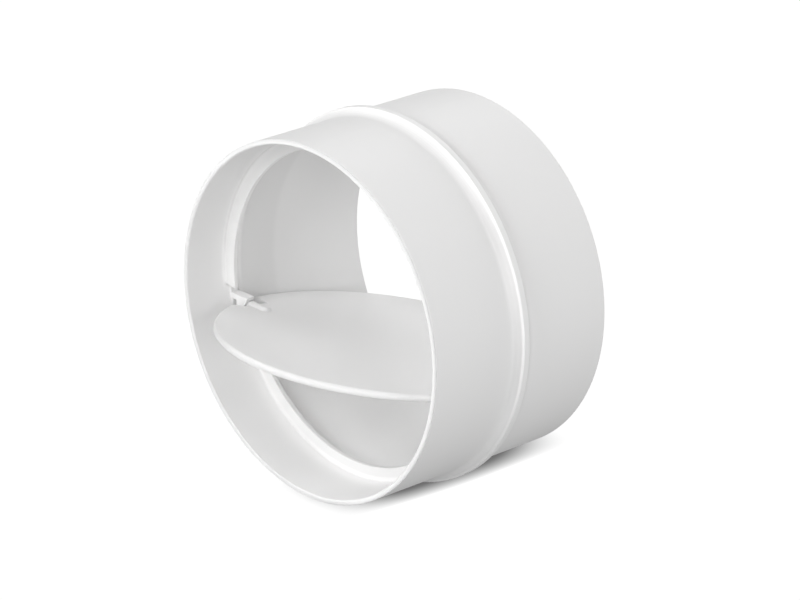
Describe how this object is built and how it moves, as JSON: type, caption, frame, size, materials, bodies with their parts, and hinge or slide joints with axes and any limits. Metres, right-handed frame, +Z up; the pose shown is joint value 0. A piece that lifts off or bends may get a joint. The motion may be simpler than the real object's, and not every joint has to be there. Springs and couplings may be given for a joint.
{
  "type": "duct backdraft damper",
  "caption": "Short round plastic duct coupling with a raised stop ring outside and a hinged disc flap inside that shuts against half-ring seats to stop reverse airflow.",
  "frame": {"origin": "on the duct axis, at the inlet-side foot of the stop ring, where the inlet duct butts", "axes": "+Y along the airflow from inlet to outlet, +Z up, X along the hinge line"},
  "size_m": [0.102, 0.0885, 0.102],
  "materials": {
    "body_plastic": "satin white moulding",
    "flap_plastic": "satin white moulding"
  },
  "bodies": {
    "duct_body": {"duct_body": "body_plastic"},
    "flap": {"flap": "flap_plastic"}
  },
  "joints": [
    {"name": "flap_hinge", "type": "hinge", "parent": "duct_body", "child": "flap", "pos_m": [0, -0.01095, -0.01165], "axis": [1, 0, 0], "range_deg": [0, 98.48]}
  ]
}
